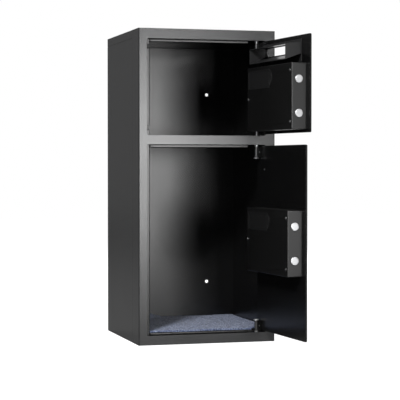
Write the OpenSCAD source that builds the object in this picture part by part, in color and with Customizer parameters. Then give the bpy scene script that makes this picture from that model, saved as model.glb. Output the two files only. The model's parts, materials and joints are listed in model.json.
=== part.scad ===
// Drop safe with two doors, a deposit slot in the upper one and electronic locks.
// +X is right, +Y is back, +Z is up. The origin is the centre of the underside.

/* [Cabinet] */
// Overall width
body_w = 350; // [340:1:420]
// Overall depth
body_d = 348; // [320:1:420]
// Overall height
body_h = 775; // [770:1:900]
// Thickness of the sheet steel
sheet_t = 2; // [1.5:0.1:2.4]
// Outer bend radius of the front frame's upright edges
bend_r = 2.8; // [2.5:0.1:4]
// Depth of the front frame's side returns
frame_return = 65; // [50:1:90]
// Height of the top panel's outer flanges
top_flange_h = 20; // [14:1:24]
// Depth of the ceiling below the top
ceiling_drop = 20; // [14:1:24]
// Height of the inner floor
floor_h = 29; // [26:1:34]
// Width of the side panels' rear returns
rear_return = 27; // [20:1:40]
// Width of the lap behind a seam
lap_w = 12; // [8:1:20]
// Gap left at a seam
seam_gap = 0.5; // [0.3:0.1:1]
// Gap between the inner panels and the walls round them
panel_gap = 0.3; // [0.2:0.1:0.5]

/* [Openings] */
// Width of the stile at the doors' free edge
free_stile_w = 20.8; // [18:0.1:30]
// Width of the stile at the doors' hinges
hinge_stile_w = 23.8; // [22:0.1:34]
// Height of the bottom rail
bottom_rail_h = 23.6; // [20:0.1:25]
// Height of the upper opening
upper_opening_h = 236.3; // [232:0.1:330]
// Height of the rail between the openings
mid_rail_h = 22.1; // [18:0.1:23]
// Height of the top rail
top_rail_h = 24.5; // [20:0.1:26]
// Corner radius of the openings
opening_r = 5; // [2:0.5:6]
// Depth of the flanges behind the rails
rail_flange_d = 38; // [36:1:44]

/* [Stop bars] */
// Thickness of the flat bars that stop the doors
bar_t = 5; // [3:0.5:6]
// Width of the top and side bars that shows in the opening
bar_show = 8.4; // [6:0.1:12]
// Height of the bar on the bottom rail
sill_bar_h = 7; // [5:0.5:10]
// Gap between a closed door and the bars
bar_gap = 1; // [0.5:0.1:2]
// Distance from the pins to the ends of the bars
bar_pin_gap = 24; // [18:1:40]
// Height of the notches in the upper side bar
notch_h = 8.5; // [6:0.5:12]
// Distance from the opening's edge to a notch
notch_inset = 14.7; // [10:0.1:24]

/* [Floor mat] */
// Thickness of the felt
mat_t = 4.3; // [3:0.1:6]
// Gap between the mat and the walls
mat_gap = 1.6; // [1:0.1:4]
// Gap between the mat's front and the bar and hinge before it
mat_front_gap = 1; // [0.5:0.1:3]
// Height that the lifted back left corner nears
mat_lift = 30; // [0:1:40]
// Distance from the back left corner to the fold where it lifts
mat_lift_reach = 100; // [40:1:140]
// Run over which the lift grows
mat_lift_run = 60; // [40:1:90]
// Height of the shallow waves in the felt
mat_wave = 0.9; // [0:0.1:1.5]

/* [Anchor holes] */
// Diameter of the holes in the back
anchor_d = 8.5; // [6:0.5:13]
// Distance between the holes from left to right
anchor_w = 198; // [150:1:240]
// Height of the lower holes
anchor_low_z = 125; // [80:1:200]
// Distance from the lower to the upper holes
anchor_rise = 506; // [480:1:540]

/* [Hinges] */
// Distance from the opening's edge to the pins
pin_inset = 20.3; // [19:0.1:22]
// Distance from the front face to the pins
pin_setback = 14; // [13.4:0.1:14.4]
// Diameter of the pins
pin_d = 5; // [4:0.5:6]
// Radial clearance of a running fit
fit_gap = 0.05; // [0.02:0.01:0.09]
// Outer diameter of the barrels and collars
barrel_d = 8.6; // [8:0.1:10]
// Length of the barrels
barrel_l = 25; // [18:0.5:30]
// Height of the collars above the barrels
top_collar_h = 5.7; // [3:0.1:8]
// Height of the collars below the barrels
low_collar_h = 2.1; // [1.5:0.1:4]
// Diameter of the pins' flared heads
head_d = 13.5; // [12:0.1:14.5]
// Height of the pins' flared heads
head_h = 3.6; // [3:0.1:6]
// Gap between the pieces stacked on a pin
stack_gap = 0.3; // [0.2:0.05:0.6]
// Thickness of the hinge leaves
leaf_t = 3; // [2:0.1:4]
// Width of a leaf towards the free edge
leaf_free_w = 7.6; // [7:0.1:12]
// Width of a leaf towards the hinge edge
leaf_hinge_w = 12; // [8:0.5:13]
// Distance from the pins to the notch in the floor below them
floor_notch = 11.5; // [9:0.5:14]

/* [Doors] */
// Thickness of the door plates
door_t = 4; // [3:0.1:4.4]
// Gap at the free edge
free_edge_gap = 1.7; // [1:0.1:3]
// Gap at the hinge edge
hinge_edge_gap = 2.5; // [2.3:0.1:4]
// Gap above a door
door_top_gap = 2.9; // [2:0.1:4]
// Gap below the upper door
upper_sill_gap = 3.5; // [2:0.1:5]
// Gap below the lower door
lower_sill_gap = 5; // [3:0.1:6]
// Corner radius of the doors
door_r = 4; // [3:0.5:6]
// Angle at which the upper door stands open
upper_open = 95.7; // [85:0.1:97]
// Angle at which the lower door stands open
lower_open = 93.6; // [85:0.1:97]
// Distance from the lower door's top edge to its blank screw
blank_screw_drop = 59; // [50:1:80]

/* [Deposit slot] */
// Height of the slot
slot_h = 20; // [14:1:22]
// Distance from the opening's top to the middle of the slot
slot_drop = 33; // [32:1:36]
// Distance from the door's free edge to the chute
chute_edge = 43.4; // [30:0.1:60]
// Distance from the pins to the chute
chute_pin_gap = 33; // [28:1:50]
// Depth of the chute
chute_d = 43; // [36:1:46]
// Thickness of the chute's sheet
chute_t = 1.5; // [1:0.1:2]
// Height of the chute at the door
chute_h = 27; // [26:1:30]
// Fall of the chute's lower face
chute_fall = 15; // [8:0.5:17]
// Fall of the chute's upper face
chute_top_fall = 5; // [4:0.5:9]
// Width of the flange above and beside the chute
chute_flange_w = 7; // [3:0.5:8]
// Width of the flange below the chute
chute_foot_w = 5; // [3:0.5:6]

/* [Lock covers] */
// Height of a lock cover
lock_h = 156; // [150:1:156]
// Depth of a lock cover
lock_d = 38; // [36:1:42]
// Distance from the door's free edge to the cover
lock_edge = 19.4; // [19:0.1:24]
// Gap between a cover and the hinge leaves beside it
cover_leaf_gap = 0.4; // [0.3:0.1:4]
// Gap between the chute's flange and the upper cover
lock_chute_gap = 3.2; // [1:0.1:6]
// Height of the lower door's middle above its lock's middle
lower_lock_drop = 1.3; // [0:0.1:10]
// Thickness of the cover's sheet
cover_t = 1.5; // [1:0.1:2]
// Outer bend radius of the cover's edges
cover_r = 2.6; // [2.2:0.1:4]
// Distance from the cover's side to its screws
screw_edge = 8.5; // [8:0.1:12]
// Distance from the cover's hinge end to its third screw
end_screw_edge = 6.5; // [6:0.1:9]
// Height of the two upper and lower screws from the middle
screw_rise = 60; // [59:0.5:66]
// Diameter of the cover screws
screw_d = 4; // [3:0.5:5]
// Diameter of the leaf screws
leaf_screw_d = 3; // [2.5:0.1:3]

/* [Live bolts] */
// Diameter of the bolts
bolt_d = 20; // [16:0.5:22]
// Length of the bolts
bolt_l = 39.5; // [36:0.5:44]
// Distance between the two bolts
bolt_pitch = 80; // [70:1:84]
// Distance from the door's inner face to the bolts' axis
bolt_axis = 19; // [18:0.5:20]
// Length that stands out of the cover when drawn back
bolt_proud = 1.5; // [0.5:0.1:3]
// Travel of the bolts
bolt_throw = 17; // [12:0.5:18]
// Thickness of the bolt carriage and its bracket
carriage_t = 2; // [1.5:0.1:2.5]
// Half height of the carriage's upright
carriage_half_h = 54; // [52:0.5:55]
// Radius of the crank that drives the carriage
crank_r = 11; // [10.5:0.1:12]
// Diameter of the crank pin
crank_pin_d = 6; // [5:0.5:7]
// Play of the crank pin in its slot
crank_play = 0.8; // [0.6:0.1:1.2]

/* [Battery compartment] */
// Distance from the cover's hinge end to the battery holder
battery_edge = 9.5; // [8:0.1:12]
// Distance from the cover's top to the middle of the compartment
battery_drop = 31.2; // [28:0.1:34]
// Diameter of a cell
cell_d = 14.2; // [13.5:0.1:14.5]
// Length of a cell
cell_l = 49.5; // [44:0.5:50.5]
// Room left across the two rows of cells
cell_room = 8.2; // [4:0.1:10]
// Room left along the cells for their contacts
contact_room = 8; // [5:0.5:10]
// Room above the cells
cell_headroom = 2.6; // [1:0.1:4]
// Wall of the battery holder
tray_t = 1.2; // [0.8:0.1:1.6]
// Width of the ledge that the battery cover lies on
ledge_w = 1.2; // [0.8:0.1:2]
// Thickness of the holder's rim on the lock cover
rim_t = 1; // [0.8:0.1:1.5]
// Width of the holder's rim round its window
rim_w = 2; // [1:0.1:3]
// Thickness of the battery cover
lid_t = 1.8; // [1.2:0.1:2.4]
// Depth of the battery cover's face below the rim
lid_sink = 0.8; // [0.5:0.1:1.2]
// Gap round and under the battery cover
lid_gap = 0.3; // [0.2:0.05:0.5]
// Diameter of the battery cover's hinge barrel
lid_barrel_d = 4; // [3.4:0.1:4.4]
// Diameter of the battery cover's hinge pins
lid_pin_d = 1.8; // [1.2:0.1:2]
// Distance from the hinge barrel's axis to the wall behind it
lid_wall_gap = 3.8; // [3.6:0.1:5]
// Depth of the finger scoop
scoop_d = 6; // [4:0.5:8]
// Distance from the battery cover's end to the scoop's middle
scoop_inset = 6.3; // [4:0.1:9]

/* [Keypads] */
// Width of a keypad housing
pad_w = 140; // [136:1:150]
// Height of a keypad housing
pad_h = 104; // [100:1:116]
// Thickness of a keypad housing
pad_t = 16; // [14:1:20]
// Corner radius of a keypad housing
pad_r = 10; // [6:1:14]
// Wall of a keypad housing
pad_wall = 2.5; // [2:0.1:3]
// Distance from the lock cover's side to the knob's axis
knob_edge = 116; // [112:1:118]
// Distance from the knob's axis to the housing's edge
knob_inset = 28; // [24:1:30]
// Diameter of the knob's skirt
knob_d = 38; // [32:1:42]
// Height of the knob
knob_h = 21; // [16:1:26]
// Height of the knob's skirt
skirt_h = 6; // [4:0.5:9]
// Width of the knob's grip
grip_w = 12.7; // [9:0.1:16]
// Distance from the skirt's edge to the grip's ends
grip_inset = 3; // [2:0.5:5]
// Diameter of the knob's spindle
spindle_d = 10; // [8:0.5:12]
// Distance from the knob's axis to the middle key column
key_offset = 66; // [64:1:70]
// Width of a key
key_w = 14; // [12:0.5:15]
// Height of a key
key_h = 11.5; // [10:0.5:13]
// Distance between key columns
key_pitch_x = 18; // [17:0.5:20]
// Distance between key rows
key_pitch_z = 16; // [15:0.5:17]
// Height of the top key row above the lock's middle
key_top_z = 18; // [16:1:20]
// Travel of a key
key_travel = 1.2; // [0.8:0.1:1.5]
// Height that a key stands proud
key_proud = 2; // [1.6:0.1:3]
// Gap round a key
key_gap = 0.3; // [0.2:0.05:0.5]
// Width of the display window
display_w = 56; // [48:1:60]
// Height of the display window
display_h = 14; // [10:1:14]
// Diameter of the override lock's plug
plug_d = 12; // [10:0.5:13]
// Distance from the knob's axis down to the override lock
plug_drop = 36; // [34:1:38]
// Width of the override plug's flange beyond the plug
plug_flange_w = 1.5; // [1:0.1:2.5]
// Thickness of the override plug's flange
plug_flange_t = 1.2; // [0.8:0.1:2]
// Width of the override lock's tail
tail_w = 6; // [4:0.5:8]
// Length of the override lock's tail
tail_l = 14; // [10:0.5:16]
// Width of the override lock's keyway
keyway_w = 2.2; // [1.5:0.1:3]
// Height of the override lock's keyway
keyway_h = 8.4; // [6:0.1:9]

/* [Hidden] */
$fn = 64;
eps = 0.01;

// Key names in reading order
KEYS = ["1", "2", "3", "4", "5", "6", "7", "8", "9", "clear", "0", "enter"];
BODY_NODES = [
    "front_frame", "left_side_panel", "right_side_panel", "back_panel", "top_panel",
    "base_panel", "divider_shelf", "stop_bars", "floor_mat", "hinge_pins"
];
DOOR_PIECES = [
    "door_plate", "hinge_leaves", "door_screws", "lock_cover", "battery_pack", "battery_cover",
    "bolt_carriage", "live_bolts", "knob", "keypad_housing", "display_window", "override_plug"
];
DOORS = ["upper", "lower"];

// Cabinet planes
left_x = -body_w / 2;
right_x = body_w / 2;
front_y = -body_d / 2;
back_y = body_d / 2;
seam_y = front_y + frame_return + seam_gap;
side_top_z = body_h - top_flange_h - seam_gap;
lap_foot = 4;
inner_half_w = body_w / 2 - sheet_t - panel_gap;
inner_back_y = back_y - 2 * sheet_t - panel_gap;
inner_front_y = front_y + rail_flange_d + panel_gap;

// Opening planes
open_x0 = left_x + free_stile_w;
open_x1 = right_x - hinge_stile_w;
upper_z1 = body_h - top_rail_h;
upper_z0 = upper_z1 - upper_opening_h;
lower_z1 = upper_z0 - mid_rail_h;
lower_z0 = bottom_rail_h;
bar_y = front_y + door_t + bar_gap;

// Pin axis, and the doors' planes measured from it with the door closed
pivot_x = open_x1 - pin_inset;
pivot_y = front_y + pin_setback;
outer_y = -pin_setback;
inner_y = door_t - pin_setback;
free_x = open_x0 + free_edge_gap - pivot_x;
hinge_x = open_x1 - hinge_edge_gap - pivot_x;
pin_tail = sheet_t + 4;
notch_x = pivot_x - floor_notch;
bore_d = pin_d + 2 * fit_gap;
leaf_screw_x = -(leaf_free_w + barrel_d / 4) / 2 - 0.5;
leaf_screw_head = 4.4;

// Chute and slot, measured from the slot's middle
chute_x0 = free_x + chute_edge;
chute_x1 = -chute_pin_gap;
chute_low = -chute_h / 2;
chute_high = chute_h / 2;
chute_flange_low = chute_low - chute_fall - chute_foot_w;

// Locks, measured from the cover's free end, the door's inner face and the lock's middle
lock_x0 = free_x + lock_edge;
lock_w = -leaf_free_w - cover_leaf_gap - lock_x0;
upper_lock_z = upper_z1 - slot_drop + chute_flange_low - lock_chute_gap - lock_h / 2;
lower_lock_z = (lower_z0 + lower_sill_gap + lower_z1 - door_top_gap) / 2 - lower_lock_drop;
screw_spots = [
    [screw_edge, screw_rise],
    [screw_edge, -screw_rise],
    [lock_w - end_screw_edge, 0]
];
stud_d = screw_d + 4;
hole_gap = 0.5;
screw_hole_d = screw_d + 0.3;
screw_reach = 12;
blank_screw_x = -31;
guide_x = 6;
guide_t = 3;
guide_foot_w = 14;
guide_foot_t = 2;
guide_wall = 3;
carriage_y = 5;
flange_x = bolt_l - bolt_proud;
crank_gap = 0.4;
crank_t = 3;
crank_d = 2 * (crank_r + crank_pin_d / 2) + 2;
crank_side = bolt_throw / 2;
crank_up = sqrt(crank_r * crank_r - crank_side * crank_side);

// Battery holder and its cover, from the rim down and from the hinge end to the free end
battery_rise = lock_h / 2 - battery_drop;
rim_y = lock_d + rim_t;
lid_y1 = rim_y - lid_sink;
lid_y0 = lid_y1 - lid_t;
ledge_y = lid_y0 - lid_gap;
cell_gap = 0.1;
cell_y = ledge_y - cell_headroom - cell_d / 2;
tray_y = cell_y - cell_d / 2 - cell_gap - tray_t;
well_half_h = cell_d + cell_room / 2;
pocket_half_h = well_half_h + ledge_w;
tray_half_h = pocket_half_h + tray_t;
tray_x1 = lock_w - battery_edge;
pocket_x1 = tray_x1 - tray_t;
lid_axis_x = pocket_x1 - lid_wall_gap;
lid_axis_y = lid_y1 - lid_barrel_d / 2;
barrel_gap = 0.3;
trough_x0 = lid_axis_x - lid_barrel_d / 2 - barrel_gap;
hinge_ledge_w = 4;
well_x1 = trough_x0 - hinge_ledge_w;
well_x0 = well_x1 - 2 * cell_l - contact_room;
pocket_x0 = well_x0 - ledge_w;
tray_x0 = pocket_x0 - tray_t;
lid_half_h = pocket_half_h - lid_gap;
ear_h = 2.2;
lid_barrel_half = pocket_half_h - ear_h - barrel_gap;
lid_pin_l = 3;
lid_corner_r = 1;
scoop_x = pocket_x0 + scoop_inset;
scoop_wall = 0.7;
scoop_r = tray_half_h - scoop_wall;
bowl_r = (scoop_r * scoop_r + scoop_d * scoop_d) / (2 * scoop_d);
tongue_w = 12;
tongue_l = 4;
pad_face_y = -door_t - pad_t;
pad_x0 = knob_edge - knob_inset;
pad_step = 1.5;
pad_step_t = 4;
key_pocket = 5;
key_r = 2;
knob_gap = 0.5;
skirt_bevel = 2.5;
knob_edge_r = 1;
plug_gap = 0.2;
tail_t = 2;
tail_y = 1;
tail_end = 5;
keyway_depth = 7;
key_dish_r = 30;
key_dish = 0.5;
display_t = 1.5;
key_middle_x = knob_edge + key_offset;
display_z = key_top_z + key_pitch_z / 2 + display_h / 2 + 5;
cable_hole_d = 12;

// Rectangle from (x0, y0) to (x1, y1) with rounded corners
module rounded(x0, y0, x1, y1, r) {
    translate([x0 + r, y0]) square([x1 - x0 - 2 * r, y1 - y0]);
    translate([x0, y0 + r]) square([x1 - x0, y1 - y0 - 2 * r]);
    for (x = [x0 + r, x1 - r]) for (y = [y0 + r, y1 - r]) translate([x, y]) circle(r = r);
}

// Extrudes an outline drawn in X and Z from y0 to y1
module upright(y0, y1) {
    translate([0, y1, 0]) rotate([90, 0, 0]) linear_extrude(y1 - y0) children();
}

// Block between two corners
module block(low, high) {
    translate(low) cube(high - low);
}

// Round bar along Y
module rod_y(x, z, d, y0, y1) {
    translate([x, y1, z]) rotate([90, 0, 0]) cylinder(d = d, h = y1 - y0);
}

// Face and side returns of the front frame in plan
module frame_plan(inset, r) {
    x0 = left_x + inset;
    x1 = right_x - inset;
    y0 = front_y + inset;
    y1 = front_y + frame_return;
    translate([x0 + r, y0]) square([x1 - x0 - 2 * r, y1 - y0 + inset]);
    translate([x0, y0 + r]) square([x1 - x0, y1 - y0 - r + inset]);
    for (x = [x0 + r, x1 - r]) translate([x, y0 + r]) circle(r = r);
}

// Flange behind a rail, with its lower face at z
module rail_flange(z) {
    block(
        [open_x0 - sheet_t, front_y + sheet_t - eps, z],
        [open_x1 + sheet_t, front_y + rail_flange_d, z + sheet_t]
    );
}

module front_frame() {
    color("dimgray") difference() {
        union() {
            linear_extrude(body_h) difference() {
                frame_plan(0, bend_r);
                frame_plan(sheet_t, bend_r - sheet_t);
            }
            for (z = [0, body_h - sheet_t]) {
                block(
                    [left_x + sheet_t - eps, front_y + sheet_t - eps, z],
                    [right_x - sheet_t + eps, front_y + frame_return, z + sheet_t]
                );
            }
            rail_flange(lower_z0 - sheet_t);
            rail_flange(lower_z1);
            rail_flange(upper_z0 - sheet_t);
            rail_flange(upper_z1);
        }
        upright(front_y - 1, front_y + sheet_t + 1) {
            rounded(open_x0, lower_z0, open_x1, lower_z1, opening_r);
            rounded(open_x0, upper_z0, open_x1, upper_z1, opening_r);
        }
        for (z = [lower_z0 - sheet_t, lower_z1, upper_z0 - sheet_t, upper_z1]) {
            translate([pivot_x, pivot_y, z - 1]) cylinder(d = bore_d, h = sheet_t + 2);
        }
    }
}

// Side panel with its laps behind the front frame and the top panel, drawn for the left
module side_panel() {
    lap_x = left_x + sheet_t;
    lap_y = back_y - 2 * sheet_t;
    linear_extrude(side_top_z) {
        translate([left_x, seam_y]) square([sheet_t, back_y - sheet_t - seam_y]);
        translate([left_x, lap_y]) square([rear_return, sheet_t]);
    }
    block([lap_x, seam_y - seam_gap - lap_w, sheet_t], [lap_x + sheet_t, seam_y + lap_foot, side_top_z]);
    block([left_x, seam_y, sheet_t], [lap_x + sheet_t, seam_y + lap_foot, side_top_z]);
    block([lap_x, seam_y, side_top_z - lap_foot], [lap_x + sheet_t, lap_y, body_h - sheet_t - panel_gap]);
    block([left_x, seam_y, side_top_z - lap_foot], [lap_x + sheet_t, lap_y, side_top_z]);
}

module left_side_panel() {
    color("slategray") side_panel();
}

module right_side_panel() {
    color("slategray") mirror([1, 0, 0]) side_panel();
}

module back_panel() {
    color("dimgray") difference() {
        block([left_x, back_y - sheet_t, 0], [right_x, back_y, side_top_z]);
        for (side = [-1, 1]) for (rise = [0, anchor_rise]) {
            rod_y(side * anchor_w / 2, anchor_low_z + rise, anchor_d, back_y - sheet_t - 1, back_y + 1);
        }
    }
}

// Hollow panel of sheet, open at its left and right ends
module box_section(y0, y1, z0, z1) {
    difference() {
        block([-inner_half_w, y0, z0], [inner_half_w, y1, z1]);
        block(
            [-inner_half_w - 1, y0 + sheet_t, z0 + sheet_t],
            [inner_half_w + 1, y1 - sheet_t, z1 - sheet_t]
        );
    }
}

// Room for the side panels' front laps, taken from the panels between them
module lap_notches(z0, z1) {
    for (side = [-1, 1]) scale([side, 1, 1]) {
        block(
            [body_w / 2 - 2 * sheet_t - panel_gap, seam_y - seam_gap - lap_w - panel_gap, z0 - 1],
            [body_w / 2, seam_y + lap_foot + panel_gap, z1 + 1]
        );
    }
}

module top_panel() {
    low = body_h - ceiling_drop;
    pan_half_w = inner_half_w - sheet_t;
    color("gray") {
        difference() {
            block([left_x, seam_y, body_h - top_flange_h], [right_x, back_y, body_h]);
            block(
                [left_x + sheet_t, seam_y - 1, body_h - top_flange_h - 1],
                [right_x - sheet_t, back_y - sheet_t, body_h - sheet_t]
            );
        }
        // Tongue under the front frame's top return
        block(
            [-pan_half_w, seam_y - seam_gap - lap_w, body_h - 2 * sheet_t],
            [pan_half_w, seam_y + lap_foot, body_h - sheet_t]
        );
        block([-pan_half_w, seam_y, body_h - 2 * sheet_t], [pan_half_w, seam_y + lap_foot, body_h]);
        // Ceiling with its front and rear webs
        block([-pan_half_w, inner_front_y, low], [pan_half_w, inner_back_y, low + sheet_t]);
        block([-pan_half_w, inner_front_y, low], [pan_half_w, inner_front_y + sheet_t, body_h - sheet_t]);
        block([-pan_half_w, inner_back_y - sheet_t, low], [pan_half_w, inner_back_y, body_h - sheet_t]);
    }
}

// Floor in plan, with the notch that leaves room for the lower hinge
module floor_plan(inset) {
    y0 = bar_y + bar_t + panel_gap + inset;
    polygon([
        [-inner_half_w, y0], [notch_x - inset, y0], [notch_x - inset, inner_front_y + inset],
        [inner_half_w, inner_front_y + inset], [inner_half_w, inner_back_y], [-inner_half_w, inner_back_y]
    ]);
}

module base_panel() {
    color("darkslategray") difference() {
        union() {
            box_section(seam_y + lap_foot + panel_gap, inner_back_y, 0, floor_h);
            translate([0, 0, floor_h - sheet_t]) linear_extrude(sheet_t) floor_plan(0);
            translate([0, 0, lower_z0]) linear_extrude(floor_h - lower_z0) difference() {
                floor_plan(0);
                floor_plan(sheet_t);
            }
        }
        lap_notches(0, floor_h);
    }
}

module divider_shelf() {
    color("gray") difference() {
        box_section(inner_front_y, inner_back_y, lower_z1, upper_z0);
        lap_notches(lower_z1, upper_z0);
    }
}

// Flat bar behind the front face, given by its outline in X and Z
module stop_bar(x0, x1, z0, z1) {
    block([x0, bar_y, z0], [x1, bar_y + bar_t, z1]);
}

module stop_bars() {
    side_x = open_x0 + bar_show;
    end_x = pivot_x - bar_pin_gap;
    color("dimgray") {
        difference() {
            stop_bar(left_x + sheet_t, side_x, upper_z0, upper_z1);
            for (z = [upper_z0 + notch_inset, upper_z1 - notch_inset - notch_h]) {
                block(
                    [open_x0 - 2, bar_y - 1, z],
                    [side_x + 1, bar_y + bar_t + 1, z + notch_h]
                );
            }
        }
        stop_bar(left_x + sheet_t, side_x, lower_z0, lower_z1);
        stop_bar(side_x + panel_gap, end_x, upper_z1 - bar_show, upper_z1);
        stop_bar(side_x + panel_gap, end_x, lower_z1 - bar_show, lower_z1);
        stop_bar(side_x + panel_gap, end_x, lower_z0, lower_z0 + sill_bar_h);
    }
}

// Felt mat as one closed sheet on a grid, its underside lying in shallow waves
mat_steps = 18;
mat_x0 = left_x + 2 * sheet_t + mat_gap;
mat_x1 = right_x - 2 * sheet_t - mat_gap;
mat_y0 = bar_y + bar_t + mat_front_gap;
mat_y1 = inner_back_y - mat_gap;
mat_notch_x = notch_x - mat_front_gap;
mat_notch_y = inner_front_y + mat_front_gap;
mat_notch_i = 15;
mat_notch_j = 1;
function mat_corner(x, y) = max(0, mat_lift_reach - (x - mat_x0 + mat_y1 - y) / sqrt(2));
function mat_low(x, y) = floor_h + panel_gap + mat_lift * (1 - exp(-mat_corner(x, y) / mat_lift_run))
    + mat_wave * (1 + sin(2.6 * x + 40) * cos(2.1 * y)) / 2;
function mat_x(i) = i < mat_notch_i
    ? mat_x0 + (mat_notch_x - mat_x0) * i / mat_notch_i
    : mat_notch_x + (mat_x1 - mat_notch_x) * (i - mat_notch_i) / (mat_steps - mat_notch_i);
function mat_y(j) = j < mat_notch_j
    ? mat_y0 + (mat_notch_y - mat_y0) * j / mat_notch_j
    : mat_notch_y + (mat_y1 - mat_notch_y) * (j - mat_notch_j) / (mat_steps - mat_notch_j);
mat_row = mat_steps + 1;
mat_sheet = mat_row * mat_row;
function mat_has(i, j) = i >= 0 && j >= 0 && i < mat_steps && j < mat_steps
    && (i < mat_notch_i || j >= mat_notch_j);
function mat_quad(a, b, c, d, flip) = flip ? [[a, b, c], [a, c, d]] : [[a, c, b], [a, d, c]];
function mat_edge(a, b, flip) = mat_quad(a, b, b + mat_sheet, a + mat_sheet, flip);
function mat_cell(i, j, a) = concat(
    mat_quad(a, a + 1, a + 1 + mat_row, a + mat_row, true),
    mat_quad(
        a + mat_sheet, a + mat_sheet + 1, a + mat_sheet + 1 + mat_row, a + mat_sheet + mat_row, false
    ),
    mat_has(i, j - 1) ? [] : mat_edge(a, a + 1, false),
    mat_has(i, j + 1) ? [] : mat_edge(a + mat_row, a + mat_row + 1, true),
    mat_has(i - 1, j) ? [] : mat_edge(a, a + mat_row, true),
    mat_has(i + 1, j) ? [] : mat_edge(a + 1, a + 1 + mat_row, false)
);

module floor_mat() {
    points = [
        for (rise = [0, mat_t]) for (j = [0:mat_steps]) for (i = [0:mat_steps])
            [mat_x(i), mat_y(j), mat_low(mat_x(i), mat_y(j)) + rise]
    ];
    faces = [
        for (j = [0:mat_steps - 1]) for (i = [0:mat_steps - 1])
            if (mat_has(i, j)) each mat_cell(i, j, j * mat_row + i)
    ];
    color("slategray") polyhedron(points, faces);
}

// Stack heights below a rail, from its edge to the barrel and from its edge to the head
function barrel_start(collar_h) = 2 * stack_gap + collar_h;
function head_start(collar_h) = barrel_start(collar_h) + barrel_l + stack_gap;

// Pin and collar hanging from a rail whose edge is at z = 0
module hinge_pin(collar_h) {
    deep = head_start(collar_h);
    translate([0, 0, -deep - head_h / 2]) cylinder(d = pin_d, h = deep + head_h / 2 + pin_tail);
    translate([0, 0, -deep]) mirror([0, 0, 1]) rotate_extrude() polygon([
        [0, 0], [barrel_d / 2, 0], [head_d / 2, head_h * 0.45],
        [head_d / 2, head_h * 0.8], [head_d / 2 - 0.8, head_h], [0, head_h]
    ]);
    translate([0, 0, -stack_gap - collar_h]) difference() {
        cylinder(d = barrel_d, h = collar_h);
        translate([0, 0, -1]) cylinder(d = bore_d, h = collar_h + 2);
    }
}

// Places a top hinge under a rail's edge and a bottom hinge above the next one
module at_hinges(low_z, high_z) {
    translate([0, 0, high_z]) children(0);
    translate([0, 0, low_z]) mirror([0, 0, 1]) children(1);
}

module hinge_pins() {
    color("silver") translate([pivot_x, pivot_y, 0]) {
        at_hinges(upper_z0, upper_z1) {
            hinge_pin(top_collar_h);
            hinge_pin(low_collar_h);
        }
        at_hinges(lower_z0, lower_z1) {
            hinge_pin(top_collar_h);
            hinge_pin(low_collar_h);
        }
    }
}

// Frame of a door, turned about its pins
module on_door(door) {
    turn = door == "upper" ? upper_open : lower_open;
    translate([pivot_x, pivot_y, 0]) rotate([0, 0, turn]) children();
}

function opening_low(door) = door == "upper" ? upper_z0 : lower_z0;
function opening_high(door) = door == "upper" ? upper_z1 : lower_z1;
function door_low(door) = opening_low(door) + (door == "upper" ? upper_sill_gap : lower_sill_gap);
function door_high(door) = opening_high(door) - door_top_gap;
function lock_z(door) = door == "upper" ? upper_lock_z : lower_lock_z;

// Frame of a lock: x from the cover's side, y from the door's inner face, z from the lock's middle
module on_lock(door) {
    on_door(door) translate([lock_x0, inner_y, lock_z(door)]) children();
}

// Heights of the leaf screws on a door
function leaf_screw_heights(door) = [
    opening_high(door) - barrel_start(top_collar_h) - barrel_l / 2,
    opening_low(door) + barrel_start(low_collar_h) + barrel_l / 2
];

// Bracket that guides the two bolts, with its foot on the door
module bolt_guide() {
    difference() {
        union() {
            block(
                [guide_x, 0, -carriage_half_h],
                [guide_x + guide_t, bolt_axis + bolt_d / 2 + guide_wall, carriage_half_h]
            );
            block([guide_x, 0, -carriage_half_h], [guide_x + guide_foot_w, guide_foot_t, carriage_half_h]);
        }
        for (side = [-1, 1]) translate([guide_x - 1, bolt_axis, side * bolt_pitch / 2])
            rotate([0, 90, 0]) cylinder(d = bolt_d + 2 * fit_gap, h = guide_t + 2);
    }
}

// Door plate with its studs and bolt guide
module door_plate(door) {
    color("black") difference() {
        union() {
            on_door(door) upright(outer_y, inner_y)
                rounded(free_x, door_low(door), hinge_x, door_high(door), door_r);
            on_lock(door) {
                bolt_guide();
                for (spot = screw_spots) rod_y(spot[0], spot[1], stud_d, -eps, lock_d - cover_t);
            }
        }
        on_lock(door) {
            for (spot = screw_spots) {
                rod_y(spot[0], spot[1], screw_d + 2 * fit_gap, lock_d - cover_t - screw_reach, lock_d);
            }
            rod_y(knob_edge, 0, spindle_d + 2 * fit_gap, -door_t - 1, 1);
            rod_y(knob_edge, -plug_drop, plug_d + 2 * hole_gap, -door_t - 1, 1);
            rod_y(key_middle_x, 0, cable_hole_d, -door_t - 1, 1);
        }
        on_door(door) {
            for (z = leaf_screw_heights(door)) {
                rod_y(leaf_screw_x, z, leaf_screw_d + 2 * fit_gap, outer_y + 1, inner_y + 1);
            }
            if (door == "upper") {
                translate([0, 0, upper_z1 - slot_drop]) upright(outer_y - 1, inner_y + 1) deposit_slot();
            } else {
                rod_y(
                    blank_screw_x, door_high(door) - blank_screw_drop,
                    leaf_screw_d + 2 * fit_gap, outer_y + 1, inner_y + 1
                );
            }
        }
    }
}

// Outline of the slot, its round ends at the chute's end walls
module deposit_slot() {
    r = slot_h / 2;
    x0 = chute_x0 + chute_t + r;
    x1 = chute_x1 - chute_t - r;
    translate([x0, -r]) square([x1 - x0, slot_h]);
    for (x = [x0, x1]) translate([x, 0]) circle(r = r);
}

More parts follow.
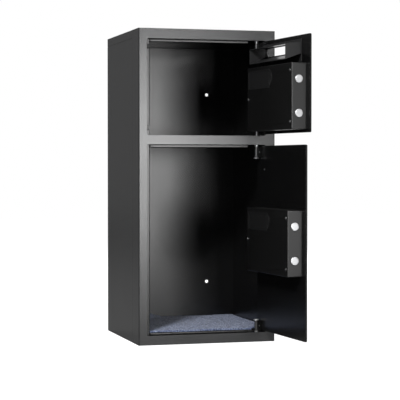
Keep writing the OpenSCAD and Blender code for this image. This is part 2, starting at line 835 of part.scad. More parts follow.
// Leaf, web and barrel below a rail's edge at z = 0
module hinge_leaf(collar_h) {
    translate([0, 0, -barrel_start(collar_h) - barrel_l]) difference() {
        union() {
            cylinder(d = barrel_d, h = barrel_l);
            block([-leaf_free_w, inner_y, 0], [leaf_hinge_w, inner_y + leaf_t, barrel_l]);
            block([-barrel_d / 4, inner_y + leaf_t - eps, 0], [barrel_d / 4, 0, barrel_l]);
        }
        translate([0, 0, -1]) cylinder(d = bore_d, h = barrel_l + 2);
        rod_y(leaf_screw_x, barrel_l / 2, leaf_screw_d + 2 * fit_gap, inner_y - 1, inner_y + leaf_t + 1);
    }
}

module hinge_leaves(door) {
    color("darkgray") on_door(door) at_hinges(opening_low(door), opening_high(door)) {
        hinge_leaf(top_collar_h);
        hinge_leaf(low_collar_h);
    }
}

// Pan head screw pointing along -Y, its head seated on y = 0
module pan_screw(d, head, reach) {
    rotate([-90, 0, 0]) rotate_extrude() polygon([
        [0, -reach], [d / 2 - 0.5, -reach], [d / 2, 0.5 - reach], [d / 2, 0],
        [head / 2, 0], [head / 2, d * 0.3], [head / 2 - d * 0.25, d * 0.55], [0, d * 0.62]
    ]);
}

module door_screws(door) {
    color("silver") {
        on_lock(door) for (spot = screw_spots) {
            translate([spot[0], lock_d, spot[1]]) pan_screw(screw_d, screw_d * 2, screw_reach);
        }
        on_door(door) {
            for (z = leaf_screw_heights(door)) {
                translate([leaf_screw_x, inner_y + leaf_t, z])
                    pan_screw(leaf_screw_d, leaf_screw_head, leaf_t + door_t - 1.5);
            }
            if (door == "lower") {
                translate([blank_screw_x, inner_y, door_high(door) - blank_screw_drop])
                    pan_screw(leaf_screw_d, leaf_screw_head, door_t - 1.5);
            }
        }
    }
}

// Battery window with its finger scoop, grown by a margin
module battery_window(margin) {
    translate([tray_x0 - margin, battery_rise - tray_half_h - margin])
        square([tray_x1 - tray_x0 + 2 * margin, 2 * (tray_half_h + margin)]);
    translate([scoop_x, battery_rise]) circle(r = scoop_r + scoop_wall + margin);
}

// Cover's outer or inner form, bent at its face and at its four sides
module cover_form(inset) {
    r = cover_r - inset;
    half_h = lock_h / 2 - inset;
    intersection() {
        upright(-1, lock_d - inset) rounded(inset, -half_h, lock_w - inset, half_h, r);
        translate([0, 0, -lock_h]) linear_extrude(2 * lock_h)
            rounded(inset, -lock_d, lock_w - inset, lock_d - inset, r);
        translate([-1, 0, 0]) rotate([90, 0, 90]) linear_extrude(lock_w + 2)
            rounded(-lock_d, -half_h, lock_d - inset, half_h, r);
    }
}

module lock_cover(door) {
    color("black") on_lock(door) difference() {
        cover_form(0);
        cover_form(cover_t);
        block([-1, -2, -lock_h], [lock_w + 1, 0, lock_h]);
        for (side = [-1, 1]) translate([-1, bolt_axis, side * bolt_pitch / 2])
            rotate([0, 90, 0]) cylinder(d = bolt_d + 2 * fit_gap, h = cover_t + 2);
        for (spot = screw_spots) rod_y(spot[0], spot[1], screw_hole_d, lock_d - cover_t - 1, lock_d + 1);
        upright(lock_d - cover_t - 1, lock_d + 1) battery_window(lid_gap);
    }
}

// Solid that the battery holder is cut from, with the rim that lies on the lock cover
module holder_form() {
    block([tray_x0, tray_y, battery_rise - tray_half_h], [tray_x1, rim_y, battery_rise + tray_half_h]);
    upright(rim_y - scoop_d - tray_t, rim_y) intersection() {
        translate([scoop_x, battery_rise]) circle(r = scoop_r + scoop_wall);
        translate([scoop_x - 2 * scoop_r, battery_rise - 2 * scoop_r])
            square([pocket_x0 - scoop_x + 2 * scoop_r, 4 * scoop_r]);
    }
    upright(lock_d, rim_y) battery_window(rim_w);
}

// Well for the cells, pocket for the cover, trough for its hinge, and the scoop's bowl
module holder_spaces() {
    block(
        [well_x0, tray_y + tray_t, battery_rise - well_half_h],
        [well_x1, rim_y + 1, battery_rise + well_half_h]
    );
    block(
        [pocket_x0, ledge_y, battery_rise - pocket_half_h],
        [pocket_x1, rim_y + 1, battery_rise + pocket_half_h]
    );
    block(
        [trough_x0, lid_axis_y - lid_barrel_d / 2 - barrel_gap, battery_rise - pocket_half_h],
        [pocket_x1, rim_y + 1, battery_rise + pocket_half_h]
    );
    intersection() {
        translate([scoop_x, rim_y - scoop_d + bowl_r, battery_rise]) sphere(r = bowl_r);
        block(
            [scoop_x - 2 * scoop_r, 0, battery_rise - 2 * scoop_r],
            [pocket_x0 + eps, rim_y + 1, battery_rise + 2 * scoop_r]
        );
    }
}

// Battery holder: rim, well with four cells, ledge, finger scoop and the ears of its cover's hinge
module battery_pack(door) {
    ear_x = 1.5;
    stud = 5.5;
    color("dimgray") on_lock(door) {
        difference() {
            holder_form();
            holder_spaces();
        }
        for (side = [-1, 1]) translate([lid_axis_x, 0, battery_rise]) scale([1, 1, side]) {
            block(
                [-ear_x, lid_axis_y - lid_barrel_d / 2 - barrel_gap - eps, lid_barrel_half + barrel_gap],
                [ear_x, lid_axis_y + lid_pin_d / 2 + 0.3, pocket_half_h + eps]
            );
            translate([0, lid_axis_y, lid_barrel_half + barrel_gap - lid_pin_l])
                cylinder(d = lid_pin_d, h = lid_pin_l + 1);
        }
        // Two rows of two cells end to end, with their contact studs
        for (row = [-1, 1]) for (column = [0, 1]) {
            translate([
                well_x0 + contact_room / 4 + column * (cell_l + contact_room / 4), cell_y,
                battery_rise + row * well_half_h / 2
            ]) rotate([0, 90, 0]) {
                cylinder(d = cell_d, h = cell_l);
                cylinder(d = stud, h = cell_l + 1);
            }
        }
    }
}

// Battery cover with its hinge barrel and snap tongue, lying in the holder's pocket
module battery_cover(door) {
    knuckle_x = lid_axis_x - lid_barrel_d / 2 - 2 * barrel_gap;
    tongue_x = well_x0 + lid_gap;
    color("#202022") on_lock(door) translate([0, 0, battery_rise]) difference() {
        union() {
            upright(lid_y0, lid_y1)
                rounded(pocket_x0 + lid_gap, -lid_half_h, knuckle_x, lid_half_h, lid_corner_r);
            block([knuckle_x - 1, lid_y0, -lid_barrel_half], [lid_axis_x, lid_y1, lid_barrel_half]);
            translate([lid_axis_x, lid_axis_y, -lid_barrel_half])
                cylinder(d = lid_barrel_d, h = 2 * lid_barrel_half);
            block(
                [tongue_x, lid_y0 - tongue_l, -tongue_w / 2],
                [tongue_x + ledge_w, lid_y0 + eps, tongue_w / 2]
            );
        }
        for (side = [-1, 1]) translate([lid_axis_x, lid_axis_y, 0]) scale([1, 1, side])
            translate([0, 0, lid_barrel_half - lid_pin_l])
                cylinder(d = lid_pin_d + 2 * fit_gap, h = lid_pin_l + 1);
    }
}

module live_bolts(door) {
    chamfer = 1;
    r = bolt_d / 2;
    color("silver") on_lock(door) for (side = [-1, 1]) {
        translate([-bolt_proud, bolt_axis, side * bolt_pitch / 2]) rotate([0, 90, 0])
            rotate_extrude() polygon([[0, 0], [r - chamfer, 0], [r, chamfer], [r, bolt_l], [0, bolt_l]]);
    }
}

// Flat plate with the crank slot, and the upright that carries the bolts
module bolt_carriage(door) {
    slot_w = crank_pin_d + 2 * crank_play;
    slot_x = knob_edge + crank_side;
    slot_low = crank_up - 1;
    slot_high = crank_r + 1;
    slot_wall = 5;
    slot_end_wall = 2.2;
    half_h = slot_high + slot_w / 2 + slot_end_wall;
    color("lightgray") on_lock(door) difference() {
        union() {
            block(
                [flange_x, carriage_y, -half_h],
                [slot_x + slot_w / 2 + slot_wall, carriage_y + carriage_t, half_h]
            );
            block(
                [flange_x, carriage_y, -carriage_half_h],
                [flange_x + carriage_t, bolt_axis + bolt_d / 2, carriage_half_h]
            );
        }
        upright(carriage_y - 1, carriage_y + carriage_t + 1) {
            translate([slot_x - slot_w / 2, slot_low]) square([slot_w, slot_high - slot_low]);
            for (z = [slot_low, slot_high]) translate([slot_x, z]) circle(d = slot_w);
        }
    }
}

// Knob, its spindle through the door, and the crank that drives the carriage
module knob(door) {
    base_y = pad_face_y - knob_gap;
    r = knob_d / 2;
    color("gainsboro") on_lock(door) translate([knob_edge, 0, 0]) {
        rotate([90, 0, 0]) rotate_extrude() polygon([
            [0, -base_y], [r - knob_edge_r, -base_y], [r, -base_y + knob_edge_r],
            [r, -base_y + skirt_h - skirt_bevel], [r - skirt_bevel, -base_y + skirt_h], [0, -base_y + skirt_h]
        ]);
        upright(base_y - knob_h, base_y - skirt_h + eps) intersection() {
            circle(r = r - grip_inset);
            translate([-grip_w / 2, -r]) square([grip_w, 2 * r]);
        }
        rod_y(0, 0, spindle_d, base_y - 1, crank_gap + crank_t);
        rod_y(0, 0, crank_d, crank_gap, crank_gap + crank_t);
        rod_y(crank_side, crank_up, crank_pin_d, crank_gap, carriage_y + carriage_t + 2.5);
    }
}

// Centre of a key, counted in reading order
function key_x(i) = key_middle_x + (i % 3 - 1) * key_pitch_x;
function key_z(i) = key_top_z - floor(i / 3) * key_pitch_z;

// Outline of a key or its pocket
module key_outline(i, margin) {
    w = key_w / 2 + margin;
    h = key_h / 2 + margin;
    rounded(key_x(i) - w, key_z(i) - h, key_x(i) + w, key_z(i) + h, key_r + margin);
}

module display_outline(margin) {
    w = display_w / 2 - margin;
    h = display_h / 2 - margin;
    rounded(key_middle_x - w, display_z - h, key_middle_x + w, display_z + h, 1.5);
}

// Moulded housing: stepped shell open to the door, with key pockets and two bosses
module keypad_housing(door) {
    x1 = pad_x0 + pad_w;
    h = pad_h / 2;
    step_y = pad_face_y + pad_step_t;
    shell_y = pad_face_y + key_pocket + 1;
    boss_d = 5;
    color("#2b2b2d") on_lock(door) difference() {
        union() {
            upright(step_y, -door_t) rounded(pad_x0, -h, x1, h, pad_r);
            upright(pad_face_y, step_y + eps) rounded(
                pad_x0 + pad_step, pad_step - h, x1 - pad_step, h - pad_step, pad_r - pad_step
            );
        }
        difference() {
            upright(shell_y, -door_t + 1) rounded(
                pad_x0 + pad_wall, pad_wall - h, x1 - pad_wall, h - pad_wall, pad_r - pad_wall
            );
            rod_y(knob_edge, 0, spindle_d + 1 + boss_d, shell_y - 1, 0);
            rod_y(knob_edge, -plug_drop, plug_d + boss_d, shell_y - 1, 0);
        }
        rod_y(knob_edge, 0, spindle_d + 1, pad_face_y - 1, 0);
        rod_y(knob_edge, -plug_drop, plug_d + 2 * fit_gap, pad_face_y - 1, 0);
        upright(pad_face_y - 1, pad_face_y + key_pocket) for (i = [0:11]) key_outline(i, key_gap);
        upright(pad_face_y - 1, pad_face_y + display_t + 0.1) display_outline(0);
    }
}

module display_window(door) {
    color("darkslategray") on_lock(door) upright(pad_face_y + 0.1, pad_face_y + 0.1 + display_t)
        display_outline(0.2);
}

// Override lock's plug with its keyway, face flange and tail cam
module override_plug(door) {
    flange_y = pad_face_y - plug_gap;
    color("silver") on_lock(door) translate([knob_edge, 0, -plug_drop]) difference() {
        union() {
            rod_y(0, 0, plug_d, flange_y, tail_y);
            rod_y(0, 0, plug_d + 2 * plug_flange_w, flange_y - plug_flange_t, flange_y);
            block(
                [-tail_w / 2, tail_y - eps, tail_end - tail_l],
                [tail_w / 2, tail_y + tail_t, tail_end]
            );
        }
        block(
            [-keyway_w / 2, flange_y - plug_flange_t - 1, -keyway_h / 2],
            [keyway_w / 2, pad_face_y + keyway_depth, keyway_h / 2]
        );
    }
}

// One key with a dished top
module key(door, i) {
    top_y = pad_face_y - key_proud;
    low_y = pad_face_y + key_pocket - key_travel - key_gap;
    color("lightgray") on_lock(door) difference() {
        upright(top_y, low_y) key_outline(i, 0);
        translate([key_x(i), top_y + key_dish - key_dish_r, key_z(i)]) sphere(r = key_dish_r);
    }
}

// Chute behind the slot: sloping box open at its inner end, and its flange on the door
module slot_chute() {
    inset = chute_t;
    color("gray") on_door("upper") translate([0, inner_y, upper_z1 - slot_drop]) {
        difference() {
            translate([chute_x0, 0, 0]) rotate([90, 0, 90]) linear_extrude(chute_x1 - chute_x0) polygon([
                [0, chute_low], [0, chute_high],
                [chute_d, chute_high - chute_top_fall], [chute_d, chute_low - chute_fall]
            ]);
            translate([chute_x0 + inset, 0, 0]) rotate([90, 0, 90])
                linear_extrude(chute_x1 - chute_x0 - 2 * inset) polygon([
                    [-1, chute_low + inset], [-1, chute_high - inset],
                    [0, chute_high - inset], [chute_d, chute_high - chute_top_fall - inset],
                    [chute_d + 1, chute_high - chute_top_fall - inset],
                    [chute_d + 1, chute_low - chute_fall + inset],
                    [chute_d, chute_low - chute_fall + inset], [0, chute_low + inset]
                ]);
        }
        difference() {
            block(
                [chute_x0, 0, chute_flange_low],
                [chute_x1 + chute_flange_w, chute_t, chute_high + chute_flange_w]
            );
            block(
                [chute_x0 + inset, -1, chute_low + inset],
                [chute_x1 - inset, chute_t + 1, chute_high - inset]
            );
        }
    }
}

front_frame();
left_side_panel();
right_side_panel();
back_panel();
top_panel();
base_panel();
divider_shelf();
stop_bars();
floor_mat();
hinge_pins();
slot_chute();
for (door = DOORS) {
    door_plate(door);
    hinge_leaves(door);
    door_screws(door);
    lock_cover(door);
    battery_pack(door);
    battery_cover(door);
    bolt_carriage(door);
    live_bolts(door);
    knob(door);
    keypad_housing(door);
    display_window(door);
    override_plug(door);
    for (i = [0:11]) {
        key(door, i);
    }
}
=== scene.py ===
"""Drop safe: finishes, felt mat, key numbers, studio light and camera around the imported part."""
import json
import math
import random

import bmesh
import bpy
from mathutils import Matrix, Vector, noise


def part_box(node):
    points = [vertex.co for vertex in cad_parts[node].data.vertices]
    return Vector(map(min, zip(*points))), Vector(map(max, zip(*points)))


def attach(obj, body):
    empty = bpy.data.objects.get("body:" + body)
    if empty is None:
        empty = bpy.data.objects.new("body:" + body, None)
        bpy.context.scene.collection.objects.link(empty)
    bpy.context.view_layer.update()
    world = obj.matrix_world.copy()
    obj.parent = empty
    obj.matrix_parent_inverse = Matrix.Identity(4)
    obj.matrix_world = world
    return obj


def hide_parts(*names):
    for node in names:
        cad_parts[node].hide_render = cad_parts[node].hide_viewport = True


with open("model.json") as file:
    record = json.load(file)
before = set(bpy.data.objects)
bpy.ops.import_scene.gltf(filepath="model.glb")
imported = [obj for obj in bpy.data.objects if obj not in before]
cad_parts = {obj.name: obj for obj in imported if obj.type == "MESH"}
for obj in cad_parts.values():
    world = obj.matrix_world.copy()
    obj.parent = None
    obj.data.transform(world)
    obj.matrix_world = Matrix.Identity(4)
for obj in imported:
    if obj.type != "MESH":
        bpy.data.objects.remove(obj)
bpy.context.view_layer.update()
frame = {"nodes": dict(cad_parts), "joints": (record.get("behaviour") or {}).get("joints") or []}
NODES = frame["nodes"]
JOINTS = {joint["name"]: joint for joint in frame["joints"]}
DOORS = ("upper", "lower")
MM = 0.001


# Camera
SENSOR_MM = 36.0
LENS_MM = 131.47
CAMERA_PLACE = (-1.0172, -3.6321, 0.4442)
CAMERA_TILT = 88.583
CAMERA_HEADING = -16.091


def make_camera():
    """The photograph's view: a long lens to the front left, level with the middle of the cabinet."""
    data = bpy.data.cameras.new("camera")
    data.sensor_width = SENSOR_MM
    data.lens = LENS_MM
    camera = bpy.data.objects.new("camera", data)
    camera.location = CAMERA_PLACE
    camera.rotation_euler = (math.radians(CAMERA_TILT), 0.0, math.radians(CAMERA_HEADING))
    bpy.context.scene.collection.objects.link(camera)
    bpy.context.scene.camera = camera


# Materials
def is_socket(value):
    return isinstance(value, bpy.types.NodeSocket)


class Graph:
    """A material's nodes, with short calls to add and join them."""

    def __init__(self, tree):
        self.tree = tree
        tree.nodes.clear()

    def add(self, kind, **settings):
        node = self.tree.nodes.new(kind)
        for name, value in settings.items():
            setattr(node, name, value)
        return node

    def link(self, out_socket, in_socket):
        self.tree.links.new(out_socket, in_socket)

    def feed(self, value, socket):
        """Links another socket to this one, or sets it to a plain value."""
        if is_socket(value):
            self.link(value, socket)
        else:
            socket.default_value = value

    def put(self, node, **values):
        """Sets a node's inputs by name, with underscores for spaces, to values or to other sockets."""
        for name, value in values.items():
            self.feed(value, node.inputs[name.replace("_", " ")])
        return node

    def noise(self, coords, scale, detail=3.0, roughness=0.5):
        node = self.add("ShaderNodeTexNoise")
        self.put(node, Vector=coords, Scale=scale, Detail=detail, Roughness=roughness)
        return node.outputs["Fac"]

    def spread(self, value, low, high, from_low=0.3, from_high=0.7):
        """Maps a value from one range to another and clamps it."""
        node = self.add("ShaderNodeMapRange")
        self.put(node, Value=value, From_Min=from_low, From_Max=from_high, To_Min=low, To_Max=high)
        return node.outputs["Result"]

    def mix_colour(self, factor, a, b):
        node = self.add("ShaderNodeMix", data_type="RGBA")
        for index, value in ((0, factor), (6, a), (7, b)):
            self.feed(value, node.inputs[index])
        return node.outputs[2]

    def bump(self, height, strength, distance):
        node = self.add("ShaderNodeBump")
        self.put(node, Height=height, Strength=strength, Distance=distance)
        return node.outputs["Normal"]


def grey(level, tint=0.0):
    """A grey with a slight blue tint, as a colour."""
    return (level * (1 - tint), level * (1 - tint / 2), level * (1 + tint), 1.0)


def new_material(name):
    material = bpy.data.materials.new(name)
    material.use_nodes = True
    graph = Graph(material.node_tree)
    shader = graph.add("ShaderNodeBsdfPrincipled")
    graph.link(shader.outputs["BSDF"], graph.add("ShaderNodeOutputMaterial").inputs["Surface"])
    coords = graph.add("ShaderNodeTexCoord").outputs["Object"]
    return material, graph, shader, coords


def blend_values(graph, factor, a, b):
    """Mixes two levels, each a number or a socket."""
    node = graph.add("ShaderNodeMix", data_type="FLOAT")
    for index, value in ((0, factor), (2, a), (3, b)):
        graph.feed(value, node.inputs[index])
    return node.outputs[0]


PEEL_GRAIN = 900.0
STEEL_GRAIN = 700.0
PLASTIC_GRAIN = 1400.0
PIN_AXIS = (0.1309, -0.16, 0.0)
BARREL_R = 0.0047
BARREL_LEVEL = 0.16
BARREL_ROUGHNESS = 0.40
INSIDE_ROUGHNESS = 0.27
MASK_EDGE = 0.0001
OUTER_FACES = (("X", 0.1743, 0.0), ("Y", 0.1733, 0.0), ("Z", 0.38705, 0.3871))


def on_outside(graph, coords):
    """1 on the cabinet's outer faces and 0 on everything inside it, where the paint gets its painted
    shade.
    """
    axes = graph.add("ShaderNodeSeparateXYZ")
    graph.link(coords, axes.inputs[0])
    reach = None
    for axis, half, middle in OUTER_FACES:
        shift = graph.add("ShaderNodeMath", operation="SUBTRACT")
        graph.put(shift, Value=axes.outputs[axis])
        shift.inputs[1].default_value = middle
        size = graph.add("ShaderNodeMath", operation="ABSOLUTE")
        graph.link(shift.outputs[0], size.inputs[0])
        over = graph.add("ShaderNodeMath", operation="SUBTRACT")
        graph.link(size.outputs[0], over.inputs[0])
        over.inputs[1].default_value = half
        if reach is None:
            reach = over.outputs[0]
        else:
            most = graph.add("ShaderNodeMath", operation="MAXIMUM")
            graph.link(reach, most.inputs[0])
            graph.link(over.outputs[0], most.inputs[1])
            reach = most.outputs[0]
    return graph.spread(reach, 0.0, 1.0, -MASK_EDGE, MASK_EDGE)


def near_pins(graph, coords):
    """1 within the hinge barrels, which are bare steel, and 0 away from the pins' axis."""
    flat = graph.add("ShaderNodeVectorMath", operation="MULTIPLY")
    graph.link(coords, flat.inputs[0])
    flat.inputs[1].default_value = (1.0, 1.0, 0.0)
    reach = graph.add("ShaderNodeVectorMath", operation="DISTANCE")
    graph.link(flat.outputs["Vector"], reach.inputs[0])
    reach.inputs[1].default_value = PIN_AXIS
    return graph.spread(reach.outputs["Value"], 1.0, 0.0, BARREL_R - MASK_EDGE, BARREL_R + MASK_EDGE)


def paint(name, level, roughness, specular=0.5, relief=0.10, inside=None, barrels=False):
    """Powder coat: orange peel and faint mottling, with painted shade inside the cabinet or bare
    barrels if asked.
    """
    material, graph, shader, coords = new_material(name)
    mottle = graph.noise(coords, 9.0, 4.0)
    fine = graph.noise(coords, PEEL_GRAIN, 2.0, 0.6)
    cloudy = graph.spread(mottle, 0.0, 1.0)
    colour = graph.mix_colour(cloudy, grey(level * 0.94, 0.02), grey(level * 1.06, 0.02))
    colour = graph.mix_colour(graph.spread(fine, 0.0, 0.3, 0.5, 0.8), colour, grey(level * 1.5, 0.02))
    gloss = graph.spread(mottle, roughness - 0.015, roughness + 0.015)
    # Painted shade: inside the cabinet the colour drops to the dark inside level, standing in for the
    # shade in its hollow.
    if inside is not None:
        outside = on_outside(graph, coords)
        colour = graph.mix_colour(outside, grey(inside, 0.02), colour)
        gloss = blend_values(graph, outside, INSIDE_ROUGHNESS, gloss)
    if barrels:
        bare = near_pins(graph, coords)
        colour = graph.mix_colour(bare, colour, grey(BARREL_LEVEL, 0.01))
        gloss = blend_values(graph, bare, gloss, BARREL_ROUGHNESS)
        graph.put(shader, Metallic=bare)
    graph.put(
        shader, Base_Color=colour, Specular_IOR_Level=specular,
        Roughness=gloss, Normal=graph.bump(fine, relief, 0.0004),
    )
    return material


def metal(name, level, roughness, brush=(1.0, 1.0, 1.0)):
    """Turned or ground steel, with fine lines that the brush scale stretches along one axis."""
    material, graph, shader, coords = new_material(name)
    stretch = graph.add("ShaderNodeMapping")
    graph.put(stretch, Vector=coords, Scale=brush)
    lines = graph.noise(stretch.outputs["Vector"], STEEL_GRAIN, 3.0, 0.6)
    graph.put(
        shader, Base_Color=grey(level, 0.01), Metallic=1.0,
        Roughness=graph.spread(lines, roughness * 0.8, roughness * 1.25),
        Normal=graph.bump(lines, 0.05, 0.0002),
    )
    return material


def plastic(name, level, roughness, relief=0.06):
    """Moulded plastic with a fine eroded grain."""
    material, graph, shader, coords = new_material(name)
    fine = graph.noise(coords, PLASTIC_GRAIN, 2.0, 0.55)
    tone = graph.noise(coords, 14.0, 3.0)
    graph.put(
        shader, Base_Color=graph.mix_colour(tone, grey(level * 0.93, 0.02), grey(level * 1.07, 0.02)),
        Roughness=graph.spread(tone, roughness - 0.03, roughness + 0.03),
        Normal=graph.bump(fine, relief, 0.0003),
    )
    return material


FELT_COLOURS = ((0.021, 0.029, 0.064), (0.090, 0.118, 0.218), (0.410, 0.475, 0.660))


def felt(name, tone):
    """Heathered grey-blue needle felt: matted fibres in lighter and darker flecks."""
    material, graph, shader, coords = new_material(name)
    combed = graph.add("ShaderNodeMapping")
    graph.put(combed, Vector=coords, Scale=(1.0, 0.3, 1.0))
    fibre = graph.noise(combed.outputs["Vector"], 420.0, 4.0, 0.65)
    fleck = graph.noise(combed.outputs["Vector"], 140.0, 3.0, 0.6)
    cloud = graph.noise(coords, 22.0, 2.0)
    dark, mid, light = [tuple(tone * channel for channel in colour) + (1.0,) for colour in FELT_COLOURS]
    body = graph.mix_colour(graph.spread(fleck, 0.0, 1.0, 0.40, 0.52), dark, mid)
    body = graph.mix_colour(graph.spread(fibre, 0.0, 0.92, 0.50, 0.60), body, light)
    body = graph.mix_colour(graph.spread(cloud, 0.0, 0.15), body, mid)
    graph.put(
        shader, Base_Color=body, Roughness=0.95, Specular_IOR_Level=0.1,
        Sheen_Weight=0.25, Sheen_Roughness=0.6,
        Normal=graph.bump(fibre, 0.6, 0.0012),
    )
    return material


MATERIALS = {
    # inside=0.004 is painted shade: faces inside the cabinet are painted darker than the outer faces to
    # stand in for the shade inside it.
    "cabinet": paint("cabinet_paint", 0.030, 0.245, inside=0.004),
    "inner": paint("inner_paint", 0.030, 0.245, inside=0.004),
    "door": paint("door_paint", 0.004, 0.26, relief=0.05),
    "leaf": paint("leaf_paint", 0.004, 0.26, relief=0.05, barrels=True),
    # Painted light: the chute's paint is the door's near-black paint made lighter, standing in for the
    # light its plates catch.
    "chute": paint("chute_paint_painted_light", 0.020, 0.30, relief=0.06),
    "lock": paint("lock_paint", 0.002, 0.42, specular=0.85),
    "bolt": metal("bolt_steel", 0.77, 0.42),
    "screw": metal("screw_steel", 0.18, 0.40),
    "pin": metal("pin_steel", 0.80, 0.42, brush=(1.0, 1.0, 0.05)),
    "lid": plastic("lid_plastic", 0.012, 0.36),
    "holder": plastic("holder_plastic", 0.012, 0.38),
    "pad": plastic("pad_plastic", 0.022, 0.5),
    "key": plastic("key_plastic", 0.50, 0.45),
    "window": plastic("window_plastic", 0.004, 0.08, relief=0.0),
    "legend": plastic("legend_ink", 0.03, 0.6, relief=0.0),
    "felt": felt("felt", 1.0),
    # Painted highlight: the fibres take the felt's colours at 1.5 times, lighter to stand in for light
    # catching stray fibres and rim tufts.
    "fibre": felt("fibre", 1.5),
}
BODY_LOOKS = {
    "front_frame": "cabinet", "left_side_panel": "cabinet", "right_side_panel": "cabinet",
    "top_panel": "cabinet", "back_panel": "inner", "base_panel": "inner", "divider_shelf": "inner",
    "stop_bars": "inner", "hinge_pins": "pin", "slot_chute": "chute", "floor_mat": "felt",
}
DOOR_LOOKS = {
    "door_plate": "door", "hinge_leaves": "leaf", "door_screws": "screw", "lock_cover": "lock",
    "battery_pack": "holder", "battery_cover": "lid", "bolt_carriage": "pin", "live_bolts": "bolt",
    "knob": "bolt", "keypad_housing": "pad", "display_window": "window", "override_plug": "bolt",
}

# Width and segments of the broken edges
EDGES = {
    "stop_bars": (0.0022, 4), "slot_chute": (0.0006, 3),
    "upper_battery_cover": (0.0011, 3), "lower_battery_cover": (0.0011, 3),
    "upper_battery_pack": (0.0009, 3), "lower_battery_pack": (0.0009, 3),
}
PLAIN_EDGE = (0.0003, 2)
WELD_REACH = 0.00001
EDGE_ANGLE = 50


def look_of(node):
    """Name of the finish that a CAD node gets."""
    if node in BODY_LOOKS:
        return BODY_LOOKS[node]
    piece = node.split("_", 1)[1]
    return "key" if piece.startswith("key_") else DOOR_LOOKS[piece]


def dress_nodes():
    """Gives each CAD node its finish, broken edges and evenly shaded flat faces."""
    for name, node in NODES.items():
        node.data.materials.clear()
        node.data.materials.append(MATERIALS[look_of(name)])
        if name == "floor_mat":
            continue
        weld = node.modifiers.new("weld", "WELD")
        weld.merge_threshold = WELD_REACH
        bevel = node.modifiers.new("edges", "BEVEL")
        bevel.width, bevel.segments = EDGES.get(name, PLAIN_EDGE)
        bevel.limit_method = "ANGLE"
        bevel.angle_limit = math.radians(EDGE_ANGLE)
        bevel.use_clamp_overlap = name != "stop_bars"
        flat = node.modifiers.new("flat_faces", "WEIGHTED_NORMAL")
        flat.weight = 100
        flat.keep_sharp = False


# Felt mat, in millimetres
FLOOR_Z = 29.0
MAT_T = 4.3
MAT_X = (-169.4, 169.4)
MAT_Y = (-163.0, 168.1)
MAT_NOTCH = (118.4, -134.7)
MAT_STEP = 2.6
MAT_LIFT = 30.0
LIFT_REACH = 100.0
LIFT_RUN = 60.0
MAT_WAVE = 0.9
MAT_CLEAR = 0.3
RELIEF = 0.28
RIM_WANDER = 0.5
RIM_ROUND = 1.1 * MM
FIBRE_COUNT = 2600
RIM_SHARE = 5
FIBRE_STEPS = 4
RIM_TUFT = 0.28
FINE_FIBRE = 0.10


def mat_low(x, y):
    """Height of the mat's underside, with its lifted corner and shallow waves."""
    corner = max(0.0, LIFT_REACH - (x - MAT_X[0] + MAT_Y[1] - y) / math.sqrt(2))
    wave = math.sin(math.radians(2.6 * x + 40)) * math.cos(math.radians(2.1 * y))
    lift = MAT_LIFT * (1 - math.exp(-corner / LIFT_RUN))
    return FLOOR_Z + MAT_CLEAR + lift + MAT_WAVE * (1 + wave) / 2


def grid_lines(low, cut, high, step):
    """Lines from low to high that also hit the notch's edge."""
    first = max(1, round((cut - low) / step))
    second = max(1, round((high - cut) / step))
    lines = [low + (cut - low) * i / first for i in range(first)]
    return lines + [cut + (high - cut) * i / second for i in range(second + 1)]


def make_mat():
    """The felt: a closed sheet with a matted top, a front rim that wanders, and the hinge notch."""
    xs = grid_lines(MAT_X[0], MAT_NOTCH[0], MAT_X[1], MAT_STEP)
    ys = grid_lines(MAT_Y[0], MAT_NOTCH[1], MAT_Y[1], MAT_STEP)
    mesh = bmesh.new()
    rows = {}
    for level in (0, 1):
        for j, y in enumerate(ys):
            for i, x in enumerate(xs):
                z = mat_low(x, y)
                if level:
                    lumps = 3.4 * noise.noise(Vector((x, y, 0)) / 6)
                    swells = 0.9 * noise.noise(Vector((x, y, 9)) / 14)
                    z += MAT_T - 0.25 + RELIEF * (lumps + swells)
                if j == 0:
                    y -= RIM_WANDER * noise.noise(Vector((x, 7, 0)) / 4)
                rows[level, i, j] = mesh.verts.new((x * MM, y * MM, z * MM))

    def has(i, j):
        inside = 0 <= i < len(xs) - 1 and 0 <= j < len(ys) - 1
        return inside and not (xs[i] > MAT_NOTCH[0] - 0.1 and ys[j + 1] < MAT_NOTCH[1] + 0.1)

    for j in range(len(ys) - 1):
        for i in range(len(xs) - 1):
            if not has(i, j):
                continue
            ring = [(i, j), (i + 1, j), (i + 1, j + 1), (i, j + 1)]
            mesh.faces.new([rows[1, a, b] for a, b in ring])
            mesh.faces.new([rows[0, a, b] for a, b in reversed(ring)])
            beside = [(i, j - 1), (i + 1, j), (i, j + 1), (i - 1, j)]
            for side, (a, b) in enumerate(beside):
                if has(a, b):
                    continue
                p, q = ring[side], ring[(side + 1) % 4]
                wall = [(0, p), (0, q), (1, q), (1, p)]
                mesh.faces.new([rows[level, spot[0], spot[1]] for level, spot in wall])
    loose = [vertex for vertex in mesh.verts if not vertex.link_faces]
    bmesh.ops.delete(mesh, geom=loose, context="VERTS")
    data = bpy.data.meshes.new("floor_felt")
    mesh.to_mesh(data)
    mesh.free()
    for face in data.polygons:
        face.use_smooth = True
    mat = bpy.data.objects.new("floor_felt", data)
    bpy.context.scene.collection.objects.link(mat)
    data.materials.append(MATERIALS["felt"])
    rim = mat.modifiers.new("rim", "BEVEL")
    rim.width = RIM_ROUND
    rim.segments = 3
    rim.limit_method = "ANGLE"
    rim.angle_limit = math.radians(60)
    return mat


